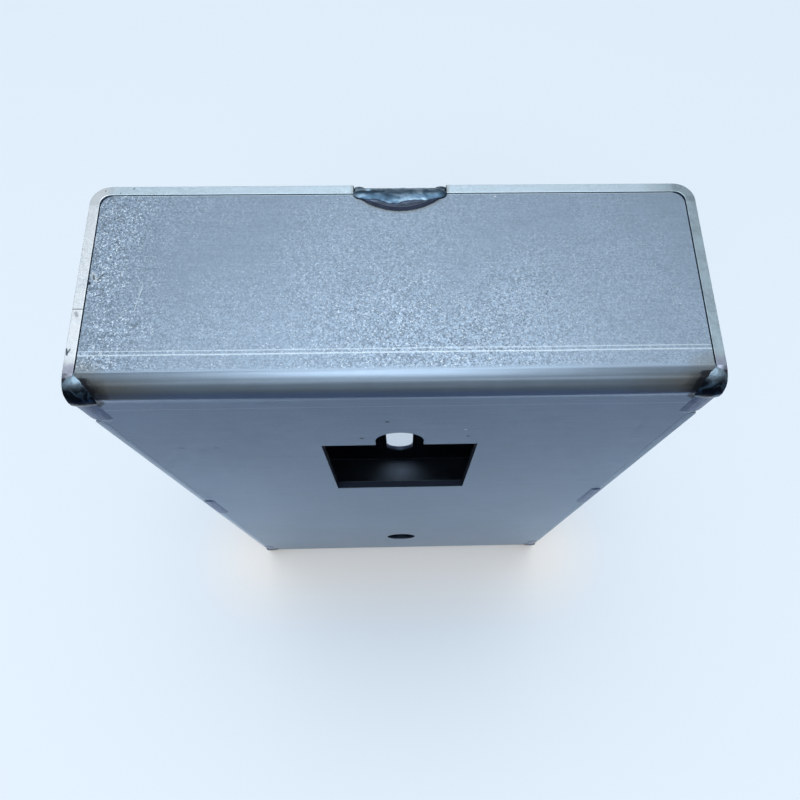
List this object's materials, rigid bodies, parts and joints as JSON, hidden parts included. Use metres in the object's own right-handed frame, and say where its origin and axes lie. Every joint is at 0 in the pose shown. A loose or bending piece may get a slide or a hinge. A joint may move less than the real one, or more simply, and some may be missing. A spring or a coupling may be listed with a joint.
{
  "type": "gate lock box",
  "caption": "Empty welded sheet-steel box that is welded into a gate to hold a lock, with a front cut-out, bolt openings and a latch hole.",
  "frame": {"origin": "centre of the bounding box in X and Y, on the plane that the box stands on", "axes": "+Z along the box's length, from the bolt hole's end towards the cut-out's end; -Y out of the front face; +X towards the flange with the latch hole"},
  "size_m": [0.12, 0.045, 0.176],
  "materials": {
    "sheet_steel": "mill-finish zinc-coated sheet, satin with a fine speckle",
    "weld_metal": "glossy blue-black oxidised weld"
  },
  "bodies": {
    "root": {"body_channel": "sheet_steel", "cover": "sheet_steel", "weld_end_top": "weld_metal", "weld_end_bottom": "weld_metal", "weld_corner_top_left": "weld_metal", "weld_corner_top_right": "weld_metal", "weld_corner_bottom_left": "weld_metal", "weld_corner_bottom_right": "weld_metal", "weld_seam_top_left": "weld_metal", "weld_seam_top_right": "weld_metal", "weld_seam_bottom_left": "weld_metal", "weld_seam_bottom_right": "weld_metal", "weld_mid_left": "weld_metal", "weld_mid_right": "weld_metal"}
  },
  "joints": []
}
